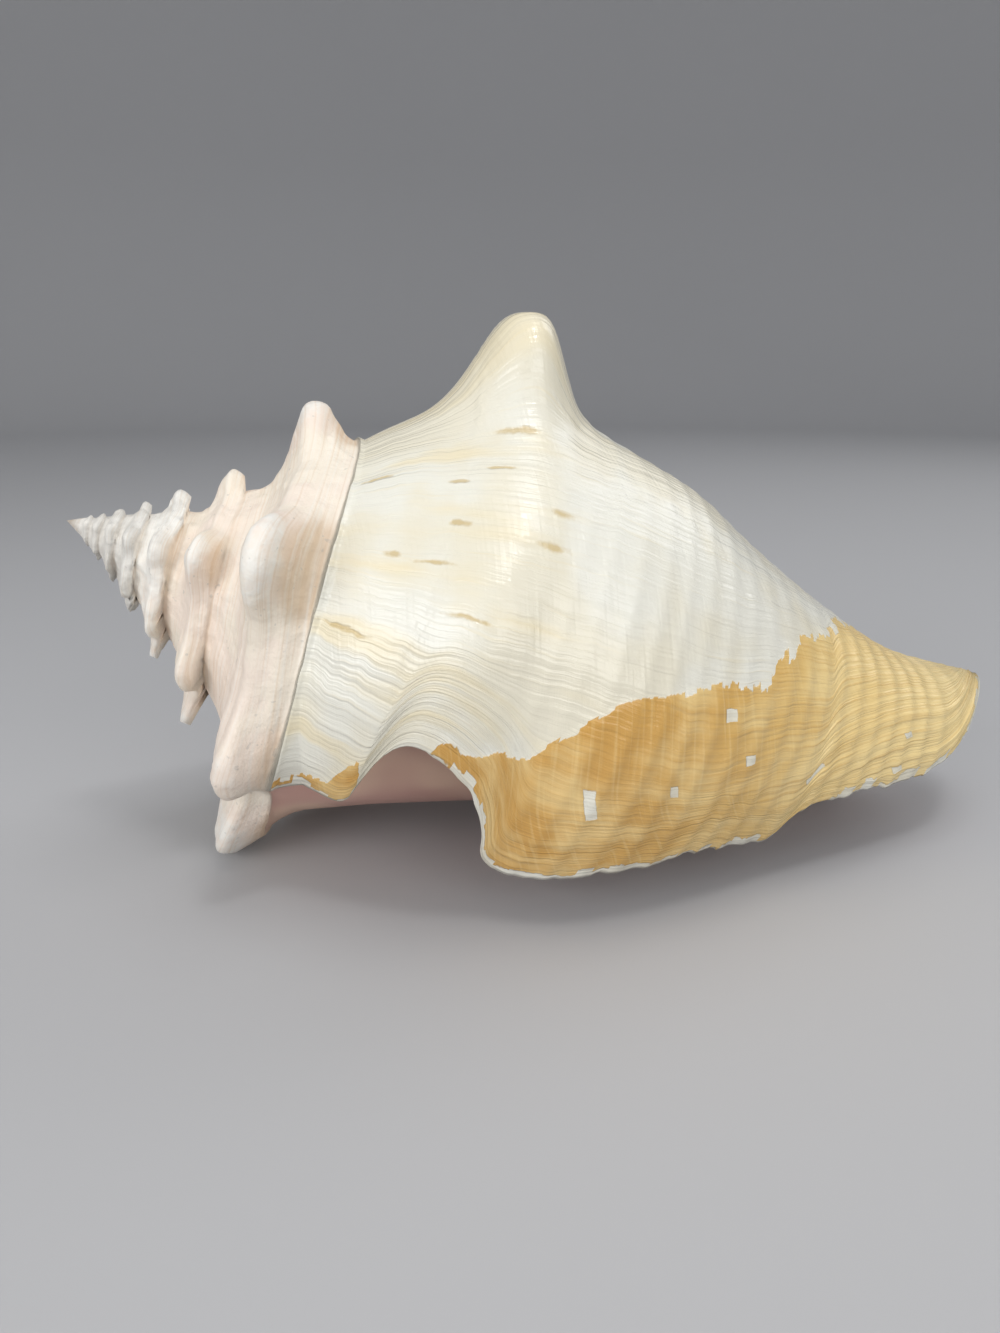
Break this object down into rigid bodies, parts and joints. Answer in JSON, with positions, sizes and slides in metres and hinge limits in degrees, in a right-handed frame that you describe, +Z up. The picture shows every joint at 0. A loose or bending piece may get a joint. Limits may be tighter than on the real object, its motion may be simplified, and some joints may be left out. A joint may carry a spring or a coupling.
{
  "type": "queen conch shell",
  "caption": "Queen conch shell lying on its aperture, with a knobbed spire, a high shoulder horn and a flared ochre lip.",
  "frame": {"origin": "centre of the shell's footprint, on the surface it lies on", "axes": "+X from the apex to the siphonal end, -Y to the outer lip, +Z up"},
  "size_m": [0.2376, 0.1306, 0.1306],
  "materials": {
    "shell": "glossy cream body whorl with an ochre glaze on the lip, chalky beige spire and pink inside"
  },
  "bodies": {
    "root": {"conch_shell": "shell"}
  },
  "joints": []
}
